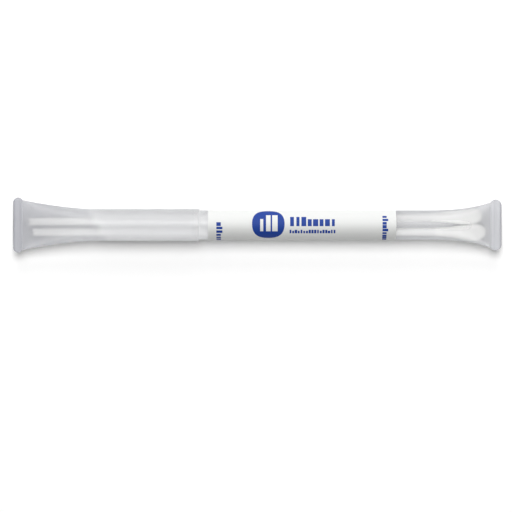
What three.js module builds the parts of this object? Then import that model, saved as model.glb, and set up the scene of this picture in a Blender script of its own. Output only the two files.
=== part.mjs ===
// Specimen swab tube: a dry transport tube of translucent polypropylene, lying on its side,
// with its pull-off cap, its paper label, a clear tamper seal and the two swabs inside it.
//
// Millimetres. +X runs along the tube, from the cap's sealed end to the tube's sealed end.
// +Z is up and both sealed ends lie flat, parallel to the XY plane.
// The origin is under the middle of the closed tube, on the surface that it lies on.

import * as THREE from 'three';

// ---------------------------------------------------------------- driving dimensions

const tubeOuterDiameter = 9.8;
const tubeWall = 0.4;
const tubeFlareLength = 22; // from the round tube to the weld
const tubeFlareExponent = 2.7; // a higher value keeps the tube round for longer
const tubeSealLength = 3.7;
const tubeSealSpread = 0.92; // how far the weld spreads past the flattened wall, each side
const mouthSlant = 0.54; // the open end is cut askew: mm along the tube for each mm across

const capLength = 62.5;
const capWall = 0.42;
const capClearance = 0.05; // around the tube, on the radius
const capFlareLength = 22.9;
const capFlareExponent = 1.5;
const capSealLength = 3.2;
const capSealSpread = 0.9;

const sealThickness = 1.0; // both welds
const sealEndThickness = 0.36; // at their rounded outer edge
const sealRidgeHeight = 0.14; // the line that the welding jaw leaves
const sealRidgeWidth = 0.9;
const sealRidgeFromEnd = 2.65;
const cavityEndGap = 0.3; // solid wall between each cavity and its weld

const labelLength = 62.9;
const labelThickness = 0.1;
const labelLap = 4; // the paper's two ends overlap by this, underneath
const labelClearance = 0.02; // the adhesive

const filmThickness = 0.08;
const filmClearance = 0.02;
const filmOnCap = 2.4; // width of the seal that grips the cap
const filmRestPress = 0.58; // share of its thickness that the film is pressed flat by, underneath
const filmOnTube = 3; // from the cap's mouth to the label
const filmTearGap = 0.05; // the line where the seal tears
const filmTentPower = 3; // how narrow the stretch is where the seal stands off the tube

const swabLength = 152;
const shaftDiameter = 2.54;
const shaftChamfer = 0.15;
const shaftDrop = 0.1; // the shafts lie this far below the tube's axis
const shaftClearance = 0.06; // to the pinched end of the cap
const swabStagger = 1.3; // the second swab sits this much nearer the tube's sealed end
const budTipRoom = 1.5; // from the second bud's tip to the tube's weld
const budLength = 17;
const budNoseLength = 4.3;
const budDiameter = 6.1;
const budRimThickness = 0.1; // the fibre's edge where it runs out on the shaft
const budTailExponent = 1.3;
const budTailSoftness = 1.9;
const budShaftCover = 3; // fibre between the shaft's end and the tip
const budBoreClearance = 0.03;
const budWallClearance = 0.06; // to the tube's inner wall
const budPartingGap = 0.06; // between the two buds

// Where each shaft runs across the bore: the share of the free play that is left
// between the shaft and the wall on its own side, at the tube's mouth and at its flare.
const swabs = [
  { name: 'swab_a', side: 1, playAtMouth: 0.5, playAtFlare: 0.17, stagger: 0, budShift: 0 },
  { name: 'swab_b', side: -1, playAtMouth: 0.225, playAtFlare: 0.235, stagger: swabStagger, budShift: 0.2 },
];

const roundSides = 40; // facets round the tube, cap, label and the film on the tube
const restSides = 120; // facets round the film on the cap, which the part lies on
const shaftSides = 20;
const budSides = 24;
const flareSteps = 12;
const sealSteps = 10;

// ---------------------------------------------------------------- plain geometry helpers

const clamp = (value, low, high) => Math.min(Math.max(value, low), high);

// The root of a function that falls from positive to negative between low and high.
function fallingRoot(fn, low, high) {
  for (let step = 0; step < 60; step += 1) {
    const middle = (low + high) / 2;
    if (fn(middle) > 0) low = middle;
    else high = middle;
  }
  return (low + high) / 2;
}

const ellipsePerimeter = (a, b) => Math.PI * (3 * (a + b) - Math.sqrt((3 * a + b) * (a + 3 * b)));

// Angles round the X axis, from +Y towards +Z, with a facet centred on every axis.
const facetAngles = (sides) =>
  Array.from({ length: sides }, (_, index) => ((index + 0.5) * 2 * Math.PI) / sides);

const ellipseRing = (x, halfWidth, halfHeight, sides = roundSides) =>
  facetAngles(sides).map(
    (angle) => new THREE.Vector3(x, halfWidth * Math.cos(angle), halfHeight * Math.sin(angle)),
  );

// A flat bar's section: straight top and bottom, round sides.
function barRing(x, halfWidth, halfHeight) {
  const roundUpTo = Math.sin(Math.PI / 9);
  return facetAngles(roundSides).map((angle) => {
    const height = clamp(Math.sin(angle) / roundUpTo, -1, 1);
    const flatHalf = halfWidth - halfHeight;
    const onFlat = Math.abs(height) === 1;
    const across = onFlat
      ? (flatHalf * Math.cos(angle)) / Math.cos(Math.PI / 9)
      : Math.sign(Math.cos(angle)) * (flatHalf + halfHeight * Math.sqrt(1 - height ** 2));
    return new THREE.Vector3(x, across, halfHeight * height);
  });
}

// A closed solid through rings of points that all run round +X the same way. Outer walls are
// passed towards +X and inner walls towards -X. A looped skin joins its last ring to its
// first; any other is capped at both ends.
function skinRings(rings, looped = false) {
  const sides = rings[0].length;
  const points = rings.flat();
  const faces = [];
  const at = (ring, index) => (ring % rings.length) * sides + (index % sides);
  const bands = looped ? rings.length : rings.length - 1;
  for (let ring = 0; ring < bands; ring += 1) {
    for (let index = 0; index < sides; index += 1) {
      const here = at(ring, index);
      const round = at(ring, index + 1);
      const ahead = at(ring + 1, index);
      const across = at(ring + 1, index + 1);
      faces.push(here, round, across, here, across, ahead);
    }
  }
  if (!looped) {
    for (const [ring, turned] of [[0, true], [rings.length - 1, false]]) {
      const centre = points.length;
      const sum = rings[ring].reduce((total, point) => total.add(point), new THREE.Vector3());
      points.push(sum.divideScalar(sides));
      for (let index = 0; index < sides; index += 1) {
        const here = at(ring, index);
        const round = at(ring, index + 1);
        faces.push(centre, turned ? round : here, turned ? here : round);
      }
    }
  }
  const geometry = new THREE.BufferGeometry().setFromPoints(points);
  geometry.setIndex(faces);
  geometry.computeVertexNormals();
  return geometry;
}

// ---------------------------------------------------------------- tubes pressed flat at one end

// A round tube whose end is pressed flat. The wall can't stretch, so the middle of the wall
// keeps its length in every section, and the height follows from the width.
function pressedTube({ outerRadius, wall, flareLength, flareExponent }) {
  const midRadius = outerRadius - wall / 2;
  const wallLine = 2 * Math.PI * midRadius;
  const flatHalfWidth = fallingRoot((a) => wallLine - ellipsePerimeter(a, wall / 2), 0, 3 * midRadius);
  // depth is the distance into the flare, away from the round tube
  const midWall = (depth) => {
    const flatness = clamp(depth / flareLength, 0, 1) ** flareExponent;
    const halfWidth = midRadius + (flatHalfWidth - midRadius) * flatness;
    const halfHeight =
      flatness === 0 ? midRadius : fallingRoot((b) => wallLine - ellipsePerimeter(halfWidth, b), 0, midRadius);
    return { halfWidth, halfHeight };
  };
  const offset = (depth, distance) => {
    const { halfWidth, halfHeight } = midWall(depth);
    return { halfWidth: halfWidth + distance, halfHeight: halfHeight + distance };
  };
  return {
    outerAt: (depth) => offset(depth, wall / 2),
    innerAt: (depth) => offset(depth, -wall / 2),
    flatHalfWidth: flatHalfWidth + wall / 2,
  };
}

// Depths along a flare, closer together towards the weld, where the section changes fastest.
const flareDepths = (length) =>
  Array.from({ length: flareSteps + 1 }, (_, step) => length * Math.sin((step / flareSteps) * (Math.PI / 2)));

// The weld beyond a flare: its melted corners are round lobes that spread past the flattened
// wall, and a jaw line crosses it. Each section is given by its distance from the outer edge.
function weldSections({ flatHalfWidth, length, spread }) {
  const lobeRadius = spread + length - Math.sqrt(2 * spread * length);
  const firstAngle = Math.PI - Math.acos((length - lobeRadius) / lobeRadius);
  const sections = [];
  for (let step = 1; step <= sealSteps; step += 1) {
    const angle = firstAngle * (1 - step / sealSteps);
    const fromEnd = lobeRadius * (1 - Math.cos(angle));
    const halfWidth = flatHalfWidth + spread - lobeRadius * (1 - Math.sin(angle));
    const towardsEdge = clamp(1 - fromEnd / (sealThickness / 2), 0, 1);
    const rounded = Math.sqrt(1 - towardsEdge ** 2);
    const ridgePlace = clamp(Math.abs(fromEnd - sealRidgeFromEnd) / (sealRidgeWidth / 2), 0, 1);
    const ridge = (sealRidgeHeight * (1 + Math.cos(Math.PI * ridgePlace))) / 2;
    const thickness = sealEndThickness + (sealThickness - sealEndThickness) * rounded + 2 * ridge;
    sections.push({ fromEnd, halfWidth, halfHeight: thickness / 2 });
  }
  return sections;
}

// ---------------------------------------------------------------- sizes that follow

const tubeRadius = tubeOuterDiameter / 2;
const boreRadius = tubeRadius - tubeWall;
const capRadius = tubeRadius + capClearance + capWall;
const shaftRadius = shaftDiameter / 2;

const tubeShape = pressedTube({
  outerRadius: tubeRadius,
  wall: tubeWall,
  flareLength: tubeFlareLength,
  flareExponent: tubeFlareExponent,
});
const capShape = pressedTube({
  outerRadius: capRadius,
  wall: capWall,
  flareLength: capFlareLength,
  flareExponent: capFlareExponent,
});

// Along the tube, measured from the cap's outer edge. The tube goes in until the cap's flare
// stops it, the first shaft goes in until the flattened cap pinches it, and the tube is
// welded just past the second bud.
const capFlareEnd = capSealLength;
const capFlareStart = capFlareEnd + capFlareLength;
const pinchDepth = fallingRoot(
  (depth) => capShape.innerAt(depth).halfHeight - (shaftRadius + shaftDrop + shaftClearance),
  0,
  capFlareLength,
);
const firstShaftEnd = capFlareStart - pinchDepth;
const tubeFlareEnd = firstShaftEnd + swabStagger + swabLength + budTipRoom;
const overallLength = tubeFlareEnd + tubeSealLength;

// The same places in the part's own frame.
const middle = overallLength / 2;
const filmOuterRadius = capRadius + filmClearance + filmThickness;
const axisHeight = filmOuterRadius - filmRestPress * filmThickness;
const capMouthX = capLength - middle;
const capFlareX = capFlareStart - middle;
const tubeMouthX = capFlareX + mouthSlant * tubeRadius; // where the slanted cut meets the axis
const tubeFlareX = tubeFlareEnd - tubeFlareLength - middle;
const labelStartX = capMouthX + filmOnTube;

// ---------------------------------------------------------------- tube and cap

function tubeGeometry() {
  const cavityDepth = tubeFlareLength - cavityEndGap;
  const depths = flareDepths(tubeFlareLength);
  const inner = [cavityDepth, ...depths.filter((depth) => depth < cavityDepth).reverse()].map((depth) => {
    const { halfWidth, halfHeight } = tubeShape.innerAt(depth);
    return ellipseRing(tubeFlareX + depth, halfWidth, halfHeight);
  });
  const slanted = (ring) => ring.map((point) => point.setX(tubeMouthX - mouthSlant * point.y));
  const mouth = [boreRadius, tubeRadius].map((radius) => slanted(ellipseRing(tubeMouthX, radius, radius)));
  const outer = depths.map((depth) => {
    const { halfWidth, halfHeight } = tubeShape.outerAt(depth);
    return ellipseRing(tubeFlareX + depth, halfWidth, halfHeight);
  });
  const weld = weldSections({
    flatHalfWidth: tubeShape.flatHalfWidth,
    length: tubeSealLength,
    spread: tubeSealSpread,
  }).map(({ fromEnd, halfWidth, halfHeight }) => barRing(middle - fromEnd, halfWidth, halfHeight));
  return skinRings([...inner, ...mouth, ...outer, ...weld]);
}

function capGeometry() {
  const cavityDepth = capFlareLength - cavityEndGap;
  const depths = flareDepths(capFlareLength);
  const weld = weldSections({
    flatHalfWidth: capShape.flatHalfWidth,
    length: capSealLength,
    spread: capSealSpread,
  }).map(({ fromEnd, halfWidth, halfHeight }) => barRing(fromEnd - middle, halfWidth, halfHeight));
  const outer = [...depths].reverse().map((depth) => {
    const { halfWidth, halfHeight } = capShape.outerAt(depth);
    return ellipseRing(capFlareX - depth, halfWidth, halfHeight);
  });
  const mouth = [capRadius, capRadius - capWall].map((radius) => ellipseRing(capMouthX, radius, radius));
  const inner = [...depths.filter((depth) => depth < cavityDepth), cavityDepth].map((depth) => {
    const { halfWidth, halfHeight } = capShape.innerAt(depth);
    return ellipseRing(capFlareX - depth, halfWidth, halfHeight);
  });
  return skinRings([...weld.reverse(), ...outer, ...mouth, ...inner]);
}

// ---------------------------------------------------------------- label and tamper seal

// A sleeve along X whose outer radius may change round it.
function sleeveGeometry(startX, endX, innerRadius, outerRadiusAt, sides = roundSides) {
  const ring = (x, radiusAt) =>
    facetAngles(sides).map((angle) => {
      const radius = radiusAt(angle);
      return new THREE.Vector3(x, radius * Math.cos(angle), radius * Math.sin(angle));
    });
  const inside = () => innerRadius;
  const rings = [ring(startX, outerRadiusAt), ring(endX, outerRadiusAt), ring(endX, inside), ring(startX, inside)];
  return skinRings(rings, true);
}

function labelGeometry() {
  const innerRadius = tubeRadius + labelClearance;
  const lapHalfAngle = labelLap / 2 / innerRadius;
  const underneath = (3 * Math.PI) / 2;
  const layersAt = (angle) => (Math.abs(angle - underneath) < lapHalfAngle ? 2 : 1);
  const outerRadiusAt = (angle) => innerRadius + labelThickness * layersAt(angle);
  return sleeveGeometry(labelStartX, labelStartX + labelLength, innerRadius, outerRadiusAt);
}

// Round, apart from the narrow flat underneath that the whole part lies on.
function filmOnCapGeometry() {
  const innerRadius = capRadius + filmClearance;
  const outerRadiusAt = (angle) => {
    const downwards = -Math.sin(angle);
    return downwards > 0 ? Math.min(filmOuterRadius, axisHeight / downwards) : filmOuterRadius;
  };
  return sleeveGeometry(capMouthX - filmOnCap, capMouthX - filmTearGap, innerRadius, outerRadiusAt, restSides);
}

// From the cap's mouth the seal drops to the tube, apart from the +Y side, where it stands
// off as a straight tent from the cap's lip to the label.
function filmOnTubeGeometry() {
  const startX = capMouthX + filmTearGap;
  const endX = labelStartX - filmTearGap;
  const lipRadius = capRadius;
  const restRadius = tubeRadius + filmClearance;
  const profile = [
    { along: 0, drop: 0 },
    { along: 0.12, drop: 0.85 },
    { along: 0.3, drop: 1 },
    { along: 0.65, drop: 1 },
    { along: 1, drop: 1 },
  ];
  const ring = ({ along, drop }, raise) =>
    facetAngles(roundSides).map((angle) => {
      const tent = Math.max(0, Math.cos(angle)) ** filmTentPower;
      const fallen = drop + (along - drop) * tent;
      const radius = lipRadius + (restRadius - lipRadius) * fallen + raise;
      const x = startX + (endX - startX) * along;
      return new THREE.Vector3(x, radius * Math.cos(angle), radius * Math.sin(angle));
    });
  const outer = profile.map((place) => ring(place, filmThickness));
  const inner = [...profile].reverse().map((place) => ring(place, 0));
  return skinRings([...outer, ...inner], true);
}

// ---------------------------------------------------------------- swabs

// A shaft's straight axis, from its position across the bore at the tube's mouth and flare.
function shaftLine({ side, playAtMouth, playAtFlare }) {
  const freePlay = 2 * (boreRadius - shaftDiameter);
  const across = (play) => side * (boreRadius - shaftRadius - play * freePlay);
  const slope = (across(playAtFlare) - across(playAtMouth)) / (tubeFlareX - tubeMouthX);
  return (x) => across(playAtMouth) + slope * (x - tubeMouthX);
}

const partingLine = (x) => (shaftLine(swabs[0])(x) + shaftLine(swabs[1])(x)) / 2;

function shaftGeometry(length) {
  const outline = [
    new THREE.Vector2(0, 0),
    new THREE.Vector2(shaftRadius - shaftChamfer, 0),
    new THREE.Vector2(shaftRadius, shaftChamfer),
    new THREE.Vector2(shaftRadius, length - shaftChamfer),
    new THREE.Vector2(shaftRadius - shaftChamfer, length),
    new THREE.Vector2(0, length),
  ];
  return new THREE.LatheGeometry(outline, shaftSides);
}

// The bud's free radius at a distance from its tip: an elliptical nose and a long taper.
function budRadiusAt(fromTip) {
  const fullRadius = budDiameter / 2;
  const rimRadius = shaftRadius + budBoreClearance + budRimThickness;
  if (fromTip < budNoseLength) return fullRadius * Math.sqrt(1 - (1 - fromTip / budNoseLength) ** 2);
  const taper = clamp((fromTip - budNoseLength) / (budLength - budNoseLength), 0, 1);
  return rimRadius + (fullRadius - rimRadius) * (1 - taper ** budTailExponent) ** budTailSoftness;
}

// The fibre is soft: each section is a circle that stops at the tube's wall and at the
// other bud, measured outwards from its own centre.
function budGeometry(swab, tipX) {
  const line = shaftLine(swab);
  const boreRing = (x) =>
    ellipseRing(x, shaftRadius + budBoreClearance, shaftRadius + budBoreClearance, budSides).map((point) =>
      point.add(new THREE.Vector3(0, line(x), -shaftDrop)),
    );
  const outerRing = (fromTip) => {
    const x = tipX - fromTip;
    const radius = budRadiusAt(fromTip);
    const cavity = tubeShape.innerAt(x - tubeFlareX);
    const wall = {
      halfWidth: cavity.halfWidth - budWallClearance,
      halfHeight: cavity.halfHeight - budWallClearance,
    };
    const swell = (radius - shaftRadius) / (budDiameter / 2 - shaftRadius);
    const centreY = line(x) + swab.side * swab.budShift * Math.max(0, swell);
    const centreZ = -shaftDrop;
    const toParting = Math.abs(centreY - partingLine(x)) - budPartingGap / 2;
    return facetAngles(budSides).map((angle) => {
      const y = Math.cos(angle);
      const z = Math.sin(angle);
      // distance to the wall's ellipse along (y, z)
      const a = (y / wall.halfWidth) ** 2 + (z / wall.halfHeight) ** 2;
      const b = (centreY * y) / wall.halfWidth ** 2 + (centreZ * z) / wall.halfHeight ** 2;
      const c = (centreY / wall.halfWidth) ** 2 + (centreZ / wall.halfHeight) ** 2 - 1;
      const toWall = (-b + Math.sqrt(b * b - a * c)) / a;
      const inwards = -y * swab.side;
      const toOtherBud = inwards > 0 ? toParting / inwards : Infinity;
      const reach = Math.min(radius, toWall, toOtherBud);
      return new THREE.Vector3(x, centreY + reach * y, centreZ + reach * z);
    });
  };
  const noseSteps = 7;
  const tailSteps = 9;
  const tail = Array.from(
    { length: tailSteps },
    (_, step) => budLength - ((budLength - budNoseLength) * step) / tailSteps,
  );
  const nose = Array.from({ length: noseSteps }, (_, step) => {
    const angle = (step / noseSteps) * (Math.PI / 2);
    return budNoseLength * (1 - Math.sin(angle));
  });
  return skinRings([
    boreRing(tipX - budShaftCover + budBoreClearance),
    boreRing(tipX - budLength),
    ...[...tail, ...nose].map(outerRing),
  ]);
}

// ---------------------------------------------------------------- the assembly

const material = (name, colour, roughness, opacity = 1) =>
  Object.assign(new THREE.MeshStandardMaterial({ color: colour, roughness, metalness: 0 }), {
    name,
    opacity,
    transparent: opacity < 1,
  });

function addMesh(parent, name, geometry, finish) {
  const mesh = new THREE.Mesh(geometry, finish);
  mesh.name = name;
  parent.add(mesh);
  return mesh;
}

const swabTube = new THREE.Group();
const onAxis = new THREE.Group();
onAxis.position.z = axisHeight;
swabTube.add(onAxis);

addMesh(onAxis, 'tube', tubeGeometry(), material('frosted polypropylene', 0xd9dadd, 0.45, 0.6));
addMesh(onAxis, 'cap', capGeometry(), material('frosted polypropylene cap', 0xd6d7db, 0.45, 0.6));
addMesh(onAxis, 'label', labelGeometry(), material('white label paper', 0xf2f3f5, 0.55));
addMesh(onAxis, 'seal_film_cap_side', filmOnCapGeometry(), material('clear film, cap side', 0xe9eaee, 0.15, 0.3));
addMesh(onAxis, 'seal_film_tube_side', filmOnTubeGeometry(), material('clear film, tube side', 0xe9eaee, 0.15, 0.3));

for (const swab of swabs) {
  const line = shaftLine(swab);
  const startX = firstShaftEnd - middle + swab.stagger;
  const tipX = startX + swabLength;
  const endX = tipX - budShaftCover;
  const start = new THREE.Vector3(startX, line(startX), -shaftDrop);
  const end = new THREE.Vector3(endX, line(endX), -shaftDrop);
  const direction = end.clone().sub(start);
  const shaft = addMesh(
    onAxis,
    `${swab.name}_shaft`,
    shaftGeometry(direction.length()),
    material(`${swab.name} polystyrene shaft`, 0xf4f4f2, 0.35),
  );
  shaft.position.copy(start);
  shaft.quaternion.setFromUnitVectors(new THREE.Vector3(0, 1, 0), direction.normalize());
  addMesh(onAxis, `${swab.name}_bud`, budGeometry(swab, tipX), material(`${swab.name} cotton bud`, 0xfbfbf9, 0.95));
}

export default swabTube;
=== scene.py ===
import math

import bpy
import numpy as np
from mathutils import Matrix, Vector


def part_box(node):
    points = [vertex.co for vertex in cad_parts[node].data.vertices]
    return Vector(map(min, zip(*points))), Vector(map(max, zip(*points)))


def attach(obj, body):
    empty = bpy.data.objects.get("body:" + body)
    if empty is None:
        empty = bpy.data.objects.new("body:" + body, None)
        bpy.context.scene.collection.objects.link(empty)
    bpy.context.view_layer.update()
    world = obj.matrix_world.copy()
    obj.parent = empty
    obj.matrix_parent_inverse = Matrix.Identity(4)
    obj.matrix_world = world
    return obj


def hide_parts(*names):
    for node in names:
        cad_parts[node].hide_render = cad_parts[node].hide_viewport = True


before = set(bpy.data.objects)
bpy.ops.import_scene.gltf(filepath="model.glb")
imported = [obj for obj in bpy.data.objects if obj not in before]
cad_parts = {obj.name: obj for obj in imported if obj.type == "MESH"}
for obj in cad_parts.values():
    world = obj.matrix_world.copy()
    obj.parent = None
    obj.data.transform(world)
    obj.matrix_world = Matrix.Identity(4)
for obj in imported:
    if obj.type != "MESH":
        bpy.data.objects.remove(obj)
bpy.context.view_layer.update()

# ------------------------ sizes, in millimetres

MM = 0.001

TUBE_RADIUS = 4.9
TUBE_WALL = 0.4
TUBE_FLARE_LENGTH = 22.0
TUBE_FLARE_EXPONENT = 2.7
TUBE_SEAL_LENGTH = 3.7
TUBE_SEAL_SPREAD = 0.92
MOUTH_SLANT = 0.54
MOUTH_ROOM = 4.0  # along the tube, for the slanting mouth's own rings

CAP_RADIUS = 5.37
CAP_WALL = 0.42
CAP_FLARE_LENGTH = 22.9
CAP_FLARE_EXPONENT = 1.5
CAP_SEAL_LENGTH = 3.2
CAP_SEAL_SPREAD = 0.9
CAP_STRAIGHT_BEFORE_MOUTH = 6.0  # where the cap is nearly round again, before the tube's mouth

SEAL_THICKNESS = 1.0
SEAL_END_THICKNESS = 0.3
SEAL_STEPS = 44
JAW_LINE_HEIGHT = 0.07
JAW_LINE_WIDTH = 0.9
JAW_LINE_FROM_END = 2.65
MELT_ROLL_HEIGHT = 0.05
MELT_ROLL_WIDTH = 1.5
EDGE_HOLLOW = 0.16  # how far the middle of a weld's outer edge is drawn in
EDGE_WANDER = 0.03  # how far that edge wanders
CORNER_WANDER = 0.04  # how far its corners wander
EDGE_REACH = 1.6  # how far in from the edge all three die away
CAVITY_END_GAP = 0.3
LIP_RADIUS = 0.12
LIP_STEPS = 6

LABEL_GAP = 0.02
LABEL_THICKNESS = 0.1
LABEL_LAP = 4.0

BADGE_MIDDLE = (3.66, 0.3)  # along the tube, and round it from its top line
BADGE_HALF_SIZE = (5.45, 5.6)
BADGE_SQUARENESS = 2.15

# Each row of printed blocks: where it starts, how many blocks it has, their pitch, the middle
# and the height of the row, the share of the pitch that a block fills, and the row's seed.
BADGE_BARS = (BADGE_MIDDLE[0] - 3.3, 3, 2.2, -0.1, 4.2, 0.66, 4.0)
HEADING = (10.6, 8, 1.97, 0.75, 2.4, 0.7, 11.0)
SMALL_PRINT = (10.6, 17, 0.92, -2.5, 0.95, 0.75, 23.0)
WORDS_BY_CAP = (-0.9, 9, 1.3, -12.95, 1.5, 0.85, 37.0)
WORDS_BY_BUDS = (-3.4, 11, 1.15, 42.5, 1.4, 0.85, 51.0)
BLOCK_WIDTH_SPREAD = 0.3  # a block may be this much narrower or wider than its row's fill
TALL_BLOCKS = 0.4  # the share of the blocks that are taller
TALL_BLOCK_RISE = 0.36  # by how much of the row's height

FILM_GAP = 0.02
FILM_THICKNESS = 0.08
FILM_TENT_POWER = 3  # how narrow the stretch is where the film stands off the tube
FILM_WRINKLE = 0.02
FILM_WRINKLES = 17  # round the whole tube
FILM_STEP = 0.09  # the share of its width in which it drops from the cap's lip to the tube

SHAFT_RADIUS = 1.27
SHAFT_CHAMFER = 0.15
SHAFT_DROP = 0.1  # how far the shafts lie below the tube's axis
BUD_LENGTH = 17.0
BUD_NOSE_LENGTH = 4.3
BUD_RADIUS = 3.05
BUD_RIM_THICKNESS = 0.1
BUD_TAIL_EXPONENT = 1.3
BUD_TAIL_SOFTNESS = 1.9
BUD_BORE_CLEARANCE = 0.03
BUD_WALL_CLEARANCE = 0.06
BUD_PARTING_GAP = 0.02
BUD_PRESSED_SQUARENESS = 6.0  # how the fibre swells into the corner where the buds press together
BUD_SHAFT_COVER = 3.0

# The side of the bore that each swab lies on, the share of its free play that is left beside it
# at the tube's mouth and at its flare, and how far its bud leans towards its own side.
SWABS = {
    "swab_a": {"side": 1, "mouth": 0.5, "flare": 0.17, "shift": 0.0},
    "swab_b": {"side": -1, "mouth": 0.225, "flare": 0.235, "shift": 0.2},
}

FIBRE_LENGTH = 2.4
FIBRE_RADIUS = 0.016  # twice a real fibre's, so that it shows
FIBRES_PER_MM2 = 12.0
FIBRE_LEAN = 0.7  # along the shaft for each step round it, at most
FIBRE_SEED = 7

# Sides round each kind of piece, and rings along each of its straight or tapering runs.
ROUND_SIDES = 96
LABEL_SIDES = 192
SHAFT_SIDES = 48
BUD_SIDES = 72
TUBE_RINGS = 26
CAP_RINGS = 18
LABEL_RINGS = 43
SHAFT_RINGS = 30
BUD_RINGS = 70
BUD_NOSE_RINGS = 20
FLARE_RINGS = 36

# Haze is the share of the view that one wall, seen square on, scatters.
TUBE_HAZE = 0.3
CAPPED_HAZE = 0.82  # the tube under the cap, whose walls lie together
CAP_HAZE = 0.46
CAP_PINCHED_HAZE = 0.36  # the cap where it meets its weld
CUT_HAZE = 0.75  # the tube just behind its mouth, whitened by the knife
CUT_WHITENING = 0.3  # how far behind, and it fades over as much again
WELD_HAZE = 0.7
WELD_BLEND = 0.4  # the stretch in which a wall turns to weld

# Greyness is how far the milk has turned from its own colour to the deep one. Besides the
# plastic's own grey, it holds painted shade, which is deepest in the welds, at their outer edges
# and where the cap is pinched. It also holds painted light where the cap and the tube lie one over
# the other.
TUBE_GREYNESS = 0.55
TUBE_PRESSED_GREYNESS = 0.52
TUBE_WELD_GREYNESS = 0.7
TUBE_EDGE_PAINTED_SHADE = 0.95
CAP_GREYNESS = 0.44
CAP_PINCHED_GREYNESS = 0.75
CAP_WELD_GREYNESS = 0.92
CAP_EDGE_PAINTED_SHADE = 1.0
# The cap's grey is painted lighter, as light, where the tube lies behind it.
GREY_KEPT_UNDER_PAINTED_LIGHT = 0.2  # what is left of the cap's greyness where the tube lies behind it

FAR_WALL = 4.0  # how many times more the far wall veils what lies beyond it
EDGE_ON_LIMIT = 0.05  # a wall seen edge on counts as at most twenty walls
GLOW_SHARE = 0.5  # how much of the mist's light comes from beyond it, not from before it
LAMP_SPREAD = 2.1  # how much more of the lamplight a wall scatters
WAY_IN_LOSS = 0.95  # how much of what a wall scatters the lamp's beam loses on its way in
WAY_OUT_LOSS = 1.5  # and on its way out again, when it has been spread once
KEPT_INSIDE = 0.98  # the share of the spread light that is left where the wall is met from inside
KEPT_OUTSIDE = 0.55  # and where it is met from outside
PASSED_SHARE = 0.7  # how much of that goes through the wall, not back from it
GRAZING_SHARE = 0.25  # what satin plastic mirrors edge on, less than a polished face does
SQUARE_SHARE = 0.04  # and what it mirrors square on
FILM_SHINE = 0.4  # the film's two faces lie too close together to shine twice

# The cells of each pattern. Real die lines, flow lines, cotton strands and paper fibres would be
# too fine to show, so these are coarser.
DIE_LINE_CELL = (16.7, 0.714, 0.714)
FLOW_LINE_CELL = (6.67, 0.4, 0.4)
STRAND_CELL = (0.1667, 1.43, 1.43)
COTTON_LUMP_CELL = (1.11, 1.11, 1.11)
PAPER_FIBRE = 0.2
INK_SPECKLE = 0.045


# ------------------------ places, from the frame

def box_mm(node):
    """A CAD node's lowest and highest corner, in millimetres."""
    low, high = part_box(node)
    return np.array(low) / MM, np.array(high) / MM


AXIS_Z = float(sum(corner[2] for corner in box_mm("tube")) / 2)
TUBE_END_X = box_mm("tube")[1][0]
CAP_END_X = box_mm("cap")[0][0]
CAP_MOUTH_X = box_mm("cap")[1][0]
LABEL_START_X, LABEL_END_X = box_mm("label")[0][0], box_mm("label")[1][0]
TUBE_FLARE_X = TUBE_END_X - TUBE_SEAL_LENGTH - TUBE_FLARE_LENGTH
CAP_FLARE_X = CAP_END_X + CAP_SEAL_LENGTH + CAP_FLARE_LENGTH
TUBE_MOUTH_X = CAP_FLARE_X + MOUTH_SLANT * TUBE_RADIUS
BORE_RADIUS = TUBE_RADIUS - TUBE_WALL


# ------------------------ mesh helpers

def solve_falling(fn, low, high):
    """The root of a function that falls from positive to negative between low and high."""
    for _ in range(50):
        middle = (low + high) / 2
        if fn(middle) > 0:
            low = middle
        else:
            high = middle
    return (low + high) / 2


def round_angles(sides=ROUND_SIDES):
    return (np.arange(sides) + 0.5) * 2 * math.pi / sides


def ring(x, half_width, half_height, sides=ROUND_SIDES, y=0.0, z=0.0):
    """Points of an ellipse across the tube, from +Y towards +Z."""
    angles = round_angles(sides)
    return np.column_stack([
        np.full(sides, float(x)),
        y + half_width * np.cos(angles),
        z + half_height * np.sin(angles),
    ])


def bar_ring(x, half_width, half_height):
    """A flat bar's section: straight top and bottom, round sides."""
    angles = round_angles()
    side_angle = math.pi / 9
    height = np.clip(np.sin(angles) / math.sin(side_angle), -1, 1)
    flat_half = half_width - half_height
    on_flat = np.abs(height) == 1
    on_side = np.sign(np.cos(angles)) * (flat_half + half_height * np.sqrt(1 - height ** 2))
    across = np.where(on_flat, flat_half * np.cos(angles) / math.cos(side_angle), on_side)
    return np.column_stack([np.full(len(angles), float(x)), across, half_height * height])


def mesh_object(name, points, faces):
    """An object at the origin from points in millimetres about the tube's axis."""
    mesh = bpy.data.meshes.new(name)
    placed = (np.asarray(points) + (0, 0, AXIS_Z)) * MM
    mesh.from_pydata(placed.tolist(), [], faces)
    mesh.validate()
    mesh.shade_smooth()
    mesh.set_sharp_from_angle(angle=math.radians(50))
    made = bpy.data.objects.new(name, mesh)
    bpy.context.scene.collection.objects.link(made)
    return made


def skin(name, rings, looped=False):
    """A closed solid through rings that all run round +X the same way, outer walls passed
    towards +X and inner walls towards -X. A looped skin joins its last ring to its first;
    any other is capped."""
    sides = len(rings[0])
    points = np.vstack(rings)
    faces = []
    count = len(rings)
    for row in range(count if looped else count - 1):
        here = row * sides
        ahead = (row + 1) % count * sides
        for side in range(sides):
            turn = (side + 1) % sides
            faces.append((here + side, here + turn, ahead + turn, ahead + side))
    if not looped:
        last = (count - 1) * sides
        faces.append(tuple(reversed(range(sides))))
        faces.append(tuple(range(last, last + sides)))
    return mesh_object(name, points, faces)


# ------------------------ numbers stored on a piece

def along(piece, slant=0.0):
    """Each point's x in millimetres, or its place behind a mouth that is cut at a slant."""
    places = np.array([point.co for point in piece.data.vertices]) / MM
    return places[:, 0] + slant * places[:, 1]


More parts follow.
